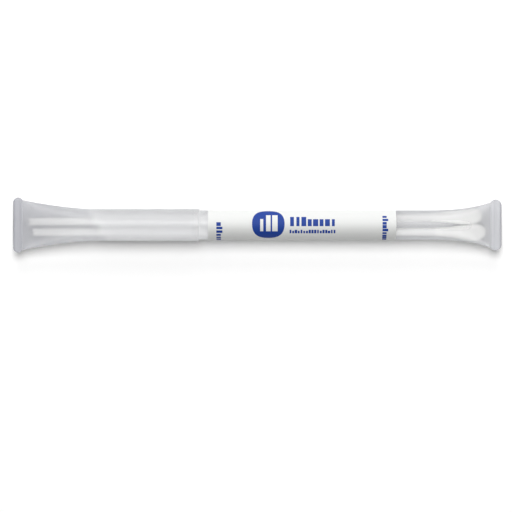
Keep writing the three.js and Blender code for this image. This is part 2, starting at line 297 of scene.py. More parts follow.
def graded(places, *stops):
    """A number for each place, in a straight run from stop to stop: (place, number) each."""
    return np.interp(places, *zip(*stops))


def store(piece, name, numbers):
    """Stores a number on each point of a piece, for its material to read."""
    piece.data.attributes.new(name, "FLOAT", "POINT").data.foreach_set("value", numbers)


def store_haze(piece, shares):
    """Stores how much of the light the wall scatters, on its outer face only: the inner face
    of a tube points at its axis and scatters nothing again."""
    outwards = [
        point.normal.y * point.co.y + point.normal.z * (point.co.z - AXIS_Z * MM) > 0
        for point in piece.data.vertices
    ]
    store(piece, "haze", np.where(outwards, shares, 0))


# ------------------------ tubes pressed flat at one end

class PressedTube:
    """A round tube whose end is pressed flat. The middle of its wall keeps its length."""

    def __init__(self, radius, wall, flare_length, exponent):
        self.wall = wall
        self.mid = radius - wall / 2
        self.flare_length = flare_length
        self.exponent = exponent
        line = 2 * math.pi * self.mid
        self.flat = solve_falling(lambda a: line - self.perimeter(a, wall / 2), 0, 3 * self.mid)

    @staticmethod
    def perimeter(a, b):
        return math.pi * (3 * (a + b) - math.sqrt((3 * a + b) * (a + 3 * b)))

    def section(self, depth, offset):
        """Half-width and half-height at a depth into the flare, offset from the mid-wall."""
        flatness = min(max(depth / self.flare_length, 0), 1) ** self.exponent
        width = self.mid + (self.flat - self.mid) * flatness
        line = 2 * math.pi * self.mid
        height = self.mid
        if flatness > 0:
            height = solve_falling(lambda b: line - self.perimeter(width, b), 0, self.mid)
        return width + offset, height + offset

    def outer(self, depth):
        return self.section(depth, self.wall / 2)

    def inner(self, depth):
        return self.section(depth, -self.wall / 2)


TUBE_SHAPE = PressedTube(TUBE_RADIUS, TUBE_WALL, TUBE_FLARE_LENGTH, TUBE_FLARE_EXPONENT)
CAP_SHAPE = PressedTube(CAP_RADIUS, CAP_WALL, CAP_FLARE_LENGTH, CAP_FLARE_EXPONENT)


def flare_rings(shape, round_x, towards):
    """A flare's outer rings from its round end on, closer together towards the weld, and its
    inner ones, which stop short of the weld."""
    steps = [math.sin(step / FLARE_RINGS * math.pi / 2) for step in range(FLARE_RINGS + 1)]
    depths = [shape.flare_length * step for step in steps]
    cavity = shape.flare_length - CAVITY_END_GAP
    hollow = [depth for depth in depths if depth < cavity] + [cavity]
    outer = [ring(round_x + towards * depth, *shape.outer(depth)) for depth in depths]
    inner = [ring(round_x + towards * depth, *shape.inner(depth)) for depth in hollow]
    return outer, inner


def bump_profile(distance, middle, width):
    """A raised cosine of height 1."""
    place = min(abs(distance - middle) / (width / 2), 1)
    return (1 + math.cos(math.pi * place)) / 2


def weld_sections(shape, length, spread):
    """(distance from the outer edge, half-width, half-height) of the welded band, whose melted
    corners are round lobes that spread past the flattened wall."""
    lobe = spread + length - math.sqrt(2 * spread * length)
    first = math.pi - math.acos((length - lobe) / lobe)
    flat_half = shape.flat + shape.wall / 2
    sections = []
    for step in range(1, SEAL_STEPS + 1):
        angle = first * (1 - step / SEAL_STEPS)
        from_end = lobe * (1 - math.cos(angle))
        half_width = flat_half + spread - lobe * (1 - math.sin(angle))
        towards_edge = min(max(1 - from_end / (SEAL_THICKNESS / 2), 0), 1)
        rounded = math.sqrt(1 - towards_edge ** 2)
        jaw_line = bump_profile(from_end, JAW_LINE_FROM_END, JAW_LINE_WIDTH)
        melt_roll = bump_profile(from_end, MELT_ROLL_WIDTH / 2, MELT_ROLL_WIDTH)
        thickness = SEAL_END_THICKNESS + (SEAL_THICKNESS - SEAL_END_THICKNESS) * rounded
        thickness += 2 * JAW_LINE_HEIGHT * jaw_line + 2 * MELT_ROLL_HEIGHT * melt_roll
        sections.append((from_end, half_width, thickness / 2))
    return sections


def draw_in(points, end_x, towards, half_width):
    """Draws the middle of a weld's outer edge in a little, and lets its melted outline wander in
    waves that are out of step, so that its two corners differ."""
    reach = np.clip(1 - np.abs(points[:, 0] - end_x) / EDGE_REACH, 0, 1)
    across = points[:, 1] / half_width
    points[:, 0] += towards * EDGE_HOLLOW * reach * np.cos(across * math.pi / 2) ** 2
    points[:, 0] += towards * EDGE_WANDER * reach * np.sin(across * 7.3 + 0.6)
    points[:, 1] += CORNER_WANDER * reach * np.sin(points[:, 0] * 2.9 + across * 2.0)
    return points


def weld_rings(shape, end_x, towards, length, spread):
    """The welded band, from its inner end to its outer edge at end_x."""
    return [
        draw_in(bar_ring(end_x + towards * from_end, width, height), end_x, towards, width)
        for from_end, width, height in weld_sections(shape, length, spread)
    ]


def lip_rings(x, radius, wall, towards):
    """A tube's open end, rounded: rings from the outer wall to the inner one."""
    rings = []
    mid = radius - wall / 2
    for step in range(LIP_STEPS + 1):
        angle = step / LIP_STEPS * math.pi
        inset = LIP_RADIUS * (1 - math.sin(angle))
        reach = wall / 2 - LIP_RADIUS + LIP_RADIUS * abs(math.cos(angle))
        where = mid + (reach if angle < math.pi / 2 else -reach)
        rings.append(ring(x - towards * inset, where, where))
    return rings


def tube_mouth():
    """The tube's open end, cut at a slant, from its inner wall round the lip to its outer wall."""
    behind = [TUBE_MOUTH_X + step * CUT_WHITENING for step in (1, 2, 3)]
    mouth = [ring(x, TUBE_RADIUS, TUBE_RADIUS) for x in reversed(behind)]
    mouth += lip_rings(TUBE_MOUTH_X, TUBE_RADIUS, TUBE_WALL, -1)
    mouth += [ring(x, BORE_RADIUS, BORE_RADIUS) for x in behind]
    for points in mouth:
        points[:, 0] -= MOUTH_SLANT * points[:, 1]
    return mouth[::-1]


def make_tube():
    outer, inner = flare_rings(TUBE_SHAPE, TUBE_FLARE_X, 1)
    straight = np.linspace(TUBE_MOUTH_X + MOUTH_ROOM, TUBE_FLARE_X, TUBE_RINGS)[:-1]
    straight = np.sort(np.append(straight, (LABEL_START_X, LABEL_START_X + 1)))
    outer = [ring(x, TUBE_RADIUS, TUBE_RADIUS) for x in straight] + outer
    inner = [ring(x, BORE_RADIUS, BORE_RADIUS) for x in straight] + inner
    weld = weld_rings(TUBE_SHAPE, TUBE_END_X, -1, TUBE_SEAL_LENGTH, TUBE_SEAL_SPREAD)
    return skin("tube_shell", inner[::-1] + tube_mouth() + outer + weld)


def grade_tube(tube):
    """The tube is milkiest under the cap, clearest from label to weld, and greyest in the weld.
    Its grey is painted white, as light, where the cap and the film cover it, and deepened as
    painted shade in the weld, most at its outer edge.
    """
    weld_x = TUBE_END_X - TUBE_SEAL_LENGTH
    haze = graded(
        along(tube),
        (LABEL_START_X, CAPPED_HAZE),
        (LABEL_START_X + 1, TUBE_HAZE),
        (weld_x, TUBE_HAZE),
        (weld_x + WELD_BLEND, WELD_HAZE),
    )
    cut = graded(
        along(tube, MOUTH_SLANT),
        (TUBE_MOUTH_X + CUT_WHITENING, CUT_HAZE),
        (TUBE_MOUTH_X + 2 * CUT_WHITENING, 0),
    )
    store_haze(tube, np.maximum(haze, cut))
    # Painted light where the cap and film cover the tube; painted shade in the weld, most at its
    # edge.
    store(tube, "grey_and_shade", graded(
        along(tube),
        (LABEL_START_X, 0),
        (LABEL_START_X + 1, TUBE_GREYNESS),
        (weld_x, TUBE_PRESSED_GREYNESS),
        (weld_x + WELD_BLEND, TUBE_WELD_GREYNESS),
        (TUBE_END_X - 1, TUBE_WELD_GREYNESS),
        (TUBE_END_X - 0.3, TUBE_EDGE_PAINTED_SHADE),
    ))


def make_cap():
    outer, inner = flare_rings(CAP_SHAPE, CAP_FLARE_X, -1)
    bore = CAP_RADIUS - CAP_WALL
    straight = np.linspace(CAP_FLARE_X, CAP_MOUTH_X - 1, CAP_RINGS)[1:]
    outer = outer[::-1] + [ring(x, CAP_RADIUS, CAP_RADIUS) for x in straight]
    inner = [ring(x, bore, bore) for x in reversed(straight)] + inner
    lip = lip_rings(CAP_MOUTH_X, CAP_RADIUS, CAP_WALL, 1)
    weld = weld_rings(CAP_SHAPE, CAP_END_X, 1, CAP_SEAL_LENGTH, CAP_SEAL_SPREAD)
    return skin("cap_shell", weld[::-1] + outer + lip + inner)


def grade_cap(cap):
    """The cap is grey, deepened as painted shade in its weld, at its outer edge and where it is
    pinched. It is lighter along its flare and painted nearly white, as light, over the tube.
    """
    weld_x = CAP_END_X + CAP_SEAL_LENGTH
    straight_x = TUBE_MOUTH_X - CAP_STRAIGHT_BEFORE_MOUTH
    store_haze(cap, graded(
        along(cap),
        (weld_x - WELD_BLEND, WELD_HAZE),
        (weld_x, CAP_PINCHED_HAZE),
        (straight_x, CAP_HAZE),
    ))
    # Painted shade in the weld, at its outer edge and where the cap is pinched.
    grey_and_shade = graded(
        along(cap),
        (CAP_END_X + 0.3, CAP_EDGE_PAINTED_SHADE),
        (CAP_END_X + 1, CAP_WELD_GREYNESS),
        (weld_x - WELD_BLEND, CAP_WELD_GREYNESS),
        (weld_x, CAP_PINCHED_GREYNESS),
        (straight_x, CAP_GREYNESS),
    )
    # Painted light: the cap's grey is lifted where the tube lies behind it.
    painted_light_factor = graded(
        along(cap, MOUTH_SLANT), (TUBE_MOUTH_X - 1.5, 1), (TUBE_MOUTH_X + 0.5, GREY_KEPT_UNDER_PAINTED_LIGHT),
    )
    store(cap, "grey_and_shade", grey_and_shade * painted_light_factor)


# ------------------------ label and tamper film

def make_label():
    """A paper sleeve, two layers thick in its lap underneath."""
    inner = TUBE_RADIUS + LABEL_GAP
    angles = round_angles(LABEL_SIDES)
    lap_half = LABEL_LAP / 2 / inner
    from_lap = np.abs(angles - 1.5 * math.pi)
    layers = np.where(from_lap < lap_half, 2.0, 1.0)
    outer = inner + LABEL_THICKNESS * layers

    def sleeve(x, radius):
        radius = np.broadcast_to(radius, angles.shape)
        return np.column_stack([
            np.full(LABEL_SIDES, float(x)), radius * np.cos(angles), radius * np.sin(angles),
        ])

    xs = np.linspace(LABEL_START_X, LABEL_END_X, LABEL_RINGS)
    rings = [sleeve(x, outer) for x in xs] + [sleeve(x, inner) for x in reversed(xs)]
    label = skin("label_wrap", rings, looped=True)
    unroll(label)
    return label


def unroll(label):
    """A UV map of the flat paper, from 0 to 1 along the tube and round it."""
    uv = label.data.uv_layers.new(name="paper")
    length = LABEL_END_X - LABEL_START_X
    for face in label.data.polygons:
        places = [label.data.vertices[i].co / MM for i in face.vertices]
        turns = [math.atan2(y, z - AXIS_Z) / (2 * math.pi) for x, y, z in places]
        for loop, place, turn in zip(face.loop_indices, places, turns):
            turn += round(turns[0] - turn)
            uv.data[loop].uv = ((place.x - LABEL_START_X) / length, 0.5 + turn)


def make_film_on_cap():
    """Round, apart from the narrow flat underneath that the whole part lies on."""
    low, high = box_mm("seal_film_cap_side")
    inner = CAP_RADIUS + FILM_GAP
    outer = inner + FILM_THICKNESS
    rings = [
        ring(low[0], outer, outer), ring(high[0], outer, outer),
        ring(high[0], inner, inner), ring(low[0], inner, inner),
    ]
    for points in rings[:2]:
        points[:, 2] = np.maximum(points[:, 2], -AXIS_Z)
    return skin("tamper_film_cap_side", rings, looped=True)


def make_film_on_tube():
    """Hugs the cap's lip and the tube, but stands off as a straight tent on the +Y side."""
    low, high = box_mm("seal_film_tube_side")
    lip = CAP_RADIUS
    rest = TUBE_RADIUS + FILM_GAP
    angles = round_angles()
    tent = np.maximum(0, np.cos(angles)) ** FILM_TENT_POWER
    wrinkle = FILM_WRINKLE * tent * np.sin(angles * FILM_WRINKLES)

    def film_ring(share, raise_by):
        drop = 1 - math.exp(-((share / FILM_STEP) ** 1.5))
        fallen = drop + (share - drop) * tent
        radius = lip + (rest - lip) * fallen + raise_by
        radius = radius + wrinkle * math.sin(math.pi * share)
        x = low[0] + (high[0] - low[0]) * share
        return np.column_stack([
            np.full(len(angles), x), radius * np.cos(angles), radius * np.sin(angles),
        ])

    shares = [0, 0.03, 0.06, 0.09, 0.13, 0.18, 0.25, 0.35, 0.5, 0.65, 0.8, 0.92, 1]
    rings = [film_ring(share, FILM_THICKNESS) for share in shares]
    rings += [film_ring(share, 0) for share in reversed(shares)]
    return skin("tamper_film_tube_side", rings, looped=True)


# ------------------------ swabs

def shaft_line(swab):
    """A shaft's straight axis: y for a given x."""
    play = 2 * (BORE_RADIUS - 2 * SHAFT_RADIUS)
    at_mouth = swab["side"] * (BORE_RADIUS - SHAFT_RADIUS - swab["mouth"] * play)
    at_flare = swab["side"] * (BORE_RADIUS - SHAFT_RADIUS - swab["flare"] * play)
    slope = (at_flare - at_mouth) / (TUBE_FLARE_X - TUBE_MOUTH_X)
    return lambda x: at_mouth + slope * (x - TUBE_MOUTH_X)


def parting_line(x):
    """Where the two buds press against each other."""
    return (shaft_line(SWABS["swab_a"])(x) + shaft_line(SWABS["swab_b"])(x)) / 2


def make_shaft(name, swab):
    """A straight rod, rounded at the end that is held and bevelled at the one in the bud."""
    low, high = box_mm(f"{name}_shaft")
    line = shaft_line(swab)
    profile = [(low[0], SHAFT_RADIUS - SHAFT_CHAMFER)]
    for step in range(1, 5):
        angle = step / 4 * math.pi / 2
        profile.append((
            low[0] + SHAFT_CHAMFER * (1 - math.cos(angle)),
            SHAFT_RADIUS - SHAFT_CHAMFER * (1 - math.sin(angle)),
        ))
    straight = np.linspace(low[0] + 1, high[0] - 0.3, SHAFT_RINGS)
    profile += [(x, SHAFT_RADIUS) for x in straight]
    profile.append((high[0], SHAFT_RADIUS - SHAFT_CHAMFER))
    rings = [ring(x, radius, radius, SHAFT_SIDES, line(x), -SHAFT_DROP) for x, radius in profile]
    return skin(f"{name}_stick", rings)


def bud_radius(from_tip):
    """The bud's free radius: an elliptical nose and a long taper."""
    rim = SHAFT_RADIUS + BUD_BORE_CLEARANCE + BUD_RIM_THICKNESS
    if from_tip < BUD_NOSE_LENGTH:
        return BUD_RADIUS * math.sqrt(1 - (1 - from_tip / BUD_NOSE_LENGTH) ** 2)
    taper = min((from_tip - BUD_NOSE_LENGTH) / (BUD_LENGTH - BUD_NOSE_LENGTH), 1)
    return rim + (BUD_RADIUS - rim) * (1 - taper ** BUD_TAIL_EXPONENT) ** BUD_TAIL_SOFTNESS


def wound_relief(x, angle, seed):
    """Ridges of wound fibre in two crossing directions over slow lumps, 0.15 mm deep together
    and always inwards."""
    turn = np.sin(angle * 2 + x * 5.5 + seed)
    crossing = np.sin(angle * 3 - x * 4.1 + 2 * seed)
    lumps = np.sin(angle + x * 0.9 + seed) * np.sin(angle * 2 - x * 0.6)
    return -0.05 * (1 + turn) / 2 - 0.04 * (1 + crossing) / 2 - 0.06 * (1 + lumps) / 2


def make_bud(name, swab):
    """A wound bud, pressed against the tube's wall and against the other bud."""
    tip_x = box_mm(f"{name}_bud")[1][0]
    line = shaft_line(swab)
    angles = round_angles(BUD_SIDES)
    across, up = np.cos(angles), np.sin(angles)
    inwards = -across * swab["side"]
    power = 2 + (BUD_PRESSED_SQUARENESS - 2) * np.clip(inwards, 0, 1) ** 0.5
    squared = (np.abs(across) ** power + np.abs(up) ** power) ** (-1 / power)

    def reach_to_wall(x, y, z):
        width, height = (size - BUD_WALL_CLEARANCE for size in TUBE_SHAPE.inner(x - TUBE_FLARE_X))
        a = (across / width) ** 2 + (up / height) ** 2
        b = y * across / width ** 2 + z * up / height ** 2
        c = (y / width) ** 2 + (z / height) ** 2 - 1
        return (-b + np.sqrt(b * b - a * c)) / a

    def reach_to_other_bud(x, y):
        to_parting = abs(y - parting_line(x)) - BUD_PARTING_GAP / 2
        return np.where(inwards > 1e-6, to_parting / np.maximum(inwards, 1e-6), np.inf)

    def outer_ring(from_tip):
        x = tip_x - from_tip
        radius = bud_radius(from_tip)
        swell = max(0.0, (radius - SHAFT_RADIUS) / (BUD_RADIUS - SHAFT_RADIUS))
        y = line(x) + swab["side"] * swab["shift"] * swell
        z = -SHAFT_DROP
        relief = wound_relief(x, angles, swab["side"] * 1.7) * min(1, from_tip / 2)
        free = radius * (1 + (squared - 1) * min(1, swell)) + relief * min(1, swell * 2)
        stopped = np.minimum(reach_to_wall(x, y, z), reach_to_other_bud(x, y))
        reach = np.minimum(free, stopped)
        return np.column_stack([np.full(BUD_SIDES, x), y + reach * across, z + reach * up])

    bore = SHAFT_RADIUS + BUD_BORE_CLEARANCE
    end_x = tip_x - BUD_SHAFT_COVER + BUD_BORE_CLEARANCE
    tail_x = tip_x - BUD_LENGTH
    rings = [ring(x, bore, bore, BUD_SIDES, line(x), -SHAFT_DROP) for x in (end_x, tail_x)]
    taper = np.linspace(BUD_LENGTH, BUD_NOSE_LENGTH, BUD_RINGS)[:-1]
    rings += [outer_ring(from_tip) for from_tip in taper]
    for step in range(BUD_NOSE_RINGS):
        angle = step / BUD_NOSE_RINGS * math.pi / 2
        rings.append(outer_ring(BUD_NOSE_LENGTH * (1 - math.sin(angle))))
    bud = skin(f"{name}_fibre", rings)
    hole_and_rim = 3 * BUD_SIDES
    store(bud, "wound", np.arange(len(bud.data.vertices)) >= hole_and_rim)
    return bud


def fibre_nodes():
    """Short fibres that lie on a bud, wound round its shaft with a little lean either way."""
    tree = bpy.data.node_groups.new("wound_fibres", "GeometryNodeTree")
    sockets = tree.interface
    sockets.new_socket("Geometry", in_out="OUTPUT", socket_type="NodeSocketGeometry")
    sockets.new_socket("Geometry", in_out="INPUT", socket_type="NodeSocketGeometry")
    for name in ("Fibre Length", "Fibre Radius", "Fibres per Square Metre", "Lean"):
        sockets.new_socket(name, in_out="INPUT", socket_type="NodeSocketFloat")
    sockets.new_socket("Seed", in_out="INPUT", socket_type="NodeSocketInt")
    sockets.new_socket("Material", in_out="INPUT", socket_type="NodeSocketMaterial")
    given = add_node(tree, "NodeGroupInput").outputs
    seed = given["Seed"]

    wound = add_node(tree, "GeometryNodeInputNamedAttribute", {"Name": "wound"}, data_type="FLOAT")
    roots = add_node(tree, "GeometryNodeDistributePointsOnFaces", {
        "Mesh": given["Geometry"],
        "Selection": wound,
        "Density": given["Fibres per Square Metre"],
        "Seed": seed,
    })
    round_shaft = add_node(tree, "ShaderNodeVectorMath", (
        (1, 0, 0), roots.outputs["Normal"],
    ), operation="CROSS_PRODUCT")
    least_lean = add_node(tree, "ShaderNodeMath", (given["Lean"], -1.0), operation="MULTIPLY")
    lean = add_node(tree, "FunctionNodeRandomValue", {
        2: least_lean, 3: given["Lean"], "Seed": seed,
    }, data_type="FLOAT").outputs[1]
    leaning = add_node(tree, "ShaderNodeCombineXYZ", (lean,))
    lie = add_node(tree, "ShaderNodeVectorMath", (round_shaft, leaning), operation="ADD")
    turned = add_node(tree, "FunctionNodeAlignRotationToVector", {"Vector": lie}, axis="X")
    share_of_length = add_node(tree, "FunctionNodeRandomValue", {
        2: 0.5, 3: 1.0, "Seed": seed,
    }, data_type="FLOAT").outputs[1]
    ends = []
    for way in (-0.5, 0.5):
        end_x = add_node(tree, "ShaderNodeMath", (given["Fibre Length"], way), operation="MULTIPLY")
        ends.append(add_node(tree, "ShaderNodeCombineXYZ", (end_x,)))
    line = add_node(tree, "GeometryNodeCurvePrimitiveLine", {"Start": ends[0], "End": ends[1]})
    strand = add_node(tree, "GeometryNodeResampleCurve", {"Curve": line, "Count": 6})
    strands = add_node(tree, "GeometryNodeInstanceOnPoints", {
        "Points": roots,
        "Instance": strand,
        "Rotation": turned,
        "Scale": share_of_length,
    })
    loose = add_node(tree, "GeometryNodeRealizeInstances", (strands,))

    body = given["Geometry"]
    nearest = add_node(tree, "GeometryNodeProximity", (body,), target_element="FACES")
    facing = add_node(tree, "GeometryNodeInputNormal")
    outwards = add_node(tree, "GeometryNodeSampleNearestSurface", {
        "Mesh": body, "Value": facing,
    }, data_type="FLOAT_VECTOR")
    raised = add_node(tree, "ShaderNodeVectorMath", {
        0: outwards, "Scale": given["Fibre Radius"],
    }, operation="SCALE")
    laid = add_node(tree, "GeometryNodeSetPosition", {
        "Geometry": loose, "Position": nearest.outputs["Position"], "Offset": raised,
    })
    section = add_node(tree, "GeometryNodeCurvePrimitiveCircle", {
        "Resolution": 3, "Radius": given["Fibre Radius"],
    })
    fibres = add_node(tree, "GeometryNodeCurveToMesh", {
        "Curve": laid, "Profile Curve": section, "Fill Caps": True,
    })
    both = add_node(tree, "GeometryNodeJoinGeometry", (body,))
    tree.links.new(fibres.outputs[0], both.inputs[0])
    whole = add_node(tree, "GeometryNodeRealizeInstances", (both,))
    dressed = add_node(tree, "GeometryNodeSetMaterial", {
        "Geometry": whole, "Material": given["Material"],
    })
    add_node(tree, "NodeGroupOutput", (dressed,))
    return tree


def run_nodes(piece, tree, values):
    """Runs a tree on a piece, with its named inputs set, and keeps the result as a plain mesh."""
    modifier = piece.modifiers.new(tree.name, "NODES")
    modifier.node_group = tree
    for socket in tree.interface.items_tree:
        if socket.in_out == "INPUT" and socket.name in values:
            modifier[socket.identifier] = values[socket.name]
    finished = piece.evaluated_get(bpy.context.evaluated_depsgraph_get())
    made = bpy.data.meshes.new_from_object(finished)
    piece.modifiers.remove(modifier)
    made.name = piece.data.name
    piece.data = made


def wind_fibres(bud, tree, material):
    run_nodes(bud, tree, {
        "Fibre Length": FIBRE_LENGTH * MM,
        "Fibre Radius": FIBRE_RADIUS * MM,
        "Fibres per Square Metre": FIBRES_PER_MM2 / MM ** 2,
        "Lean": FIBRE_LEAN,
        "Seed": FIBRE_SEED,
        "Material": material,
    })


# ------------------------ materials

def linear(hex_colour):
    """An sRGB hex value as linear RGBA."""
    parts = [int(hex_colour[i:i + 2], 16) / 255 for i in (1, 3, 5)]
    light = [c / 12.92 if c <= 0.04045 else ((c + 0.055) / 1.055) ** 2.4 for c in parts]
    return (*light, 1.0)


def add_node(tree, kind, inputs=(), **settings):
    """Adds a node. inputs gives its sockets their values in order, or by name or number. A value
    may be another node's socket, or a node, which stands for its first socket."""
    made = tree.nodes.new(kind)
    for name, value in settings.items():
        setattr(made, name, value)
    for key, value in inputs.items() if isinstance(inputs, dict) else enumerate(inputs):
        if isinstance(value, bpy.types.Node):
            value = value.outputs[0]
        if isinstance(value, bpy.types.NodeSocket):
            tree.links.new(value, made.inputs[key])
        else:
            made.inputs[key].default_value = value
    return made


def grain(tree, cell, detail=3.0, turn=0.0, distortion=0.0):
    """Noise on Object coordinates in cells of a size in millimetres, turned about Z."""
    place = add_node(tree, "ShaderNodeTexCoord").outputs["Object"]
    drawn = add_node(tree, "ShaderNodeMapping", {
        "Vector": place, "Rotation": (0, 0, turn), "Scale": [1 / (size * MM) for size in cell],
    })
    return add_node(tree, "ShaderNodeTexNoise", {
        "Vector": drawn, "Scale": 1.0, "Detail": detail, "Distortion": distortion,
    })


def new_material(name):
    made = bpy.data.materials.new(name)
    made.use_nodes = True
    made.node_tree.nodes.clear()
    return made


def by_side(tree, front, back):
    """One number on the front of a wall and another on its back."""
    side = add_node(tree, "ShaderNodeNewGeometry")
    return add_node(tree, "ShaderNodeMapRange", {
        "Value": side.outputs["Backfacing"], "To Min": front, "To Max": back,
    })


def mirrored_share(tree):
    """What plastic mirrors at each angle, the same on the inside of a wall as on the outside."""
    edge_on = add_node(tree, "ShaderNodeLayerWeight", {"Blend": 0.5}).outputs["Facing"]
    steep = add_node(tree, "ShaderNodeMath", (edge_on, 5.0), operation="POWER")
    return add_node(tree, "ShaderNodeMapRange", {
        "Value": steep, "To Min": SQUARE_SHARE, "To Max": GRAZING_SHARE,
    })


def seen_wall(tree, haze, milk_colour, deep_and_shade_colour, edge_painted_shade):
    """What the eye meets: a clear view through mist. The mist thickens where the wall is seen edge
    on or is the far one, and has so little facing of its own that half of it is level. Its colour
    turns towards the deep one with the stored grey and painted shade. It turns further, as painted
    shade, along the outline where the wall is seen edge on."""
    edge_on = add_node(tree, "ShaderNodeLayerWeight", {"Blend": 0.5}).outputs["Facing"]
    squareness = add_node(tree, "ShaderNodeMapRange", {
        "Value": edge_on,
        "From Max": 1.0 - EDGE_ON_LIMIT,
        "To Min": 1.0,
        "To Max": EDGE_ON_LIMIT,
    })
    walls = by_side(tree, 1.0, FAR_WALL)
    crossed = add_node(tree, "ShaderNodeMath", (walls, squareness), operation="DIVIDE")
    past_one = add_node(tree, "ShaderNodeMath", (1.0, haze), operation="SUBTRACT")
    past_all = add_node(tree, "ShaderNodeMath", (past_one, crossed), operation="POWER")
    veiled = add_node(tree, "ShaderNodeMath", (1.0, past_all), operation="SUBTRACT")

    # Painted shade: the mist darkens along the outline where the wall is seen edge on.
    stored = add_node(tree, "ShaderNodeAttribute", attribute_name="grey_and_shade").outputs["Fac"]
    grey_and_shade = add_node(tree, "ShaderNodeMath", (
        edge_on, edge_painted_shade, stored,
    ), operation="MULTIPLY_ADD")
    tone = add_node(tree, "ShaderNodeMix", {
        0: grey_and_shade, 6: linear(milk_colour), 7: linear(deep_and_shade_colour),
    }, data_type="RGBA").outputs[2]
    facing = add_node(tree, "ShaderNodeNewGeometry").outputs["Normal"]
    half_level = add_node(tree, "ShaderNodeVectorMath", (facing, (0, 0, 1)), operation="ADD")
    milk = add_node(tree, "ShaderNodeBsdfDiffuse", {"Color": tone, "Normal": half_level})
    glow = add_node(tree, "ShaderNodeBsdfTranslucent", {"Color": tone})
    mist = add_node(tree, "ShaderNodeMixShader", (GLOW_SHARE, milk, glow))
    clear = add_node(tree, "ShaderNodeBsdfTransparent", {"Color": linear("#fefefe")})
    return add_node(tree, "ShaderNodeMixShader", (veiled, clear, mist))


def felt_wall(tree, lamp_haze):
    """What spread light meets: it is kept inside the tube, and some is lost to the outside."""
    kept = by_side(tree, KEPT_OUTSIDE, KEPT_INSIDE)
    bounced = add_node(tree, "ShaderNodeBsdfDiffuse", {"Color": kept})
    spread = add_node(tree, "ShaderNodeBsdfTranslucent", {"Color": kept})
    soft = add_node(tree, "ShaderNodeMixShader", (PASSED_SHARE, bounced, spread))
    clear = add_node(tree, "ShaderNodeBsdfTransparent", {"Color": linear("#fefefe")})
    return add_node(tree, "ShaderNodeMixShader", (lamp_haze, clear, soft))


def lamp_beam(tree, lamp_haze):
    """What is left of a lamp's beam behind the wall: less on its way out than on its way in."""
    loss = by_side(tree, WAY_OUT_LOSS, WAY_IN_LOSS)
    lost = add_node(tree, "ShaderNodeMath", (lamp_haze, loss), operation="MULTIPLY")
    left = add_node(tree, "ShaderNodeMath", (1.0, lost), operation="SUBTRACT", use_clamp=True)
    return add_node(tree, "ShaderNodeBsdfTransparent", {"Color": left})


def frosted_polypropylene(name, milk_colour, deep_and_shade_colour, edge_painted_shade):
    """Extruded polypropylene, milky from its own crystals: what lies behind shows through as
    through thin mist, more so where the wall is thick or seen edge on and behind the far wall,
    under a satin shine with faint die lines along the tube. The mist is painted white, as light,
    over the label or the tube and is a cool grey elsewhere. It is deepened as painted shade where
    the wall was pressed and along its outline where it is seen edge on. The crystals bend light
    only a little, so the view through stays clear while lamplight spreads, which fills the bore
    with soft light, and little of a lamp's beam leaves the tube again, so its shadow is soft but
    deep."""
    made = new_material(name)
    tree = made.node_tree
    haze = add_node(tree, "ShaderNodeAttribute", attribute_name="haze").outputs["Fac"]
    lamp_haze = add_node(tree, "ShaderNodeMath", (
        haze, LAMP_SPREAD,
    ), operation="MULTIPLY", use_clamp=True)
    seen = seen_wall(tree, haze, milk_colour, deep_and_shade_colour, edge_painted_shade)
    felt = felt_wall(tree, lamp_haze)
    beam = lamp_beam(tree, lamp_haze)
    bump = add_node(tree, "ShaderNodeBump", {
        "Height": grain(tree, DIE_LINE_CELL), "Strength": 0.12, "Distance": 0.04 * MM,
    })
    satin = add_node(tree, "ShaderNodeBsdfGlossy", {"Roughness": 0.35, "Normal": bump})
    ray = add_node(tree, "ShaderNodeLightPath").outputs
    wall = add_node(tree, "ShaderNodeMixShader", (ray["Is Camera Ray"], felt, seen))
    shone = add_node(tree, "ShaderNodeMixShader", (mirrored_share(tree), wall, satin))
    lit = add_node(tree, "ShaderNodeMixShader", (ray["Is Shadow Ray"], shone, beam))
    add_node(tree, "ShaderNodeOutputMaterial", {"Surface": lit})
    return made


def clear_film():
    """Cast polypropylene film: clear and thin, with a soft shine."""
    made = new_material("clear_cast_film")
    tree = made.node_tree
    clear = add_node(tree, "ShaderNodeBsdfTransparent", {"Color": linear("#ffffff")})
    shine = add_node(tree, "ShaderNodeBsdfGlossy", {"Roughness": 0.4})
    share = add_node(tree, "ShaderNodeMath", (
        mirrored_share(tree), FILM_SHINE,
    ), operation="MULTIPLY")
    both = add_node(tree, "ShaderNodeMixShader", (share, clear, shine))
    add_node(tree, "ShaderNodeOutputMaterial", {"Surface": both})
    return made


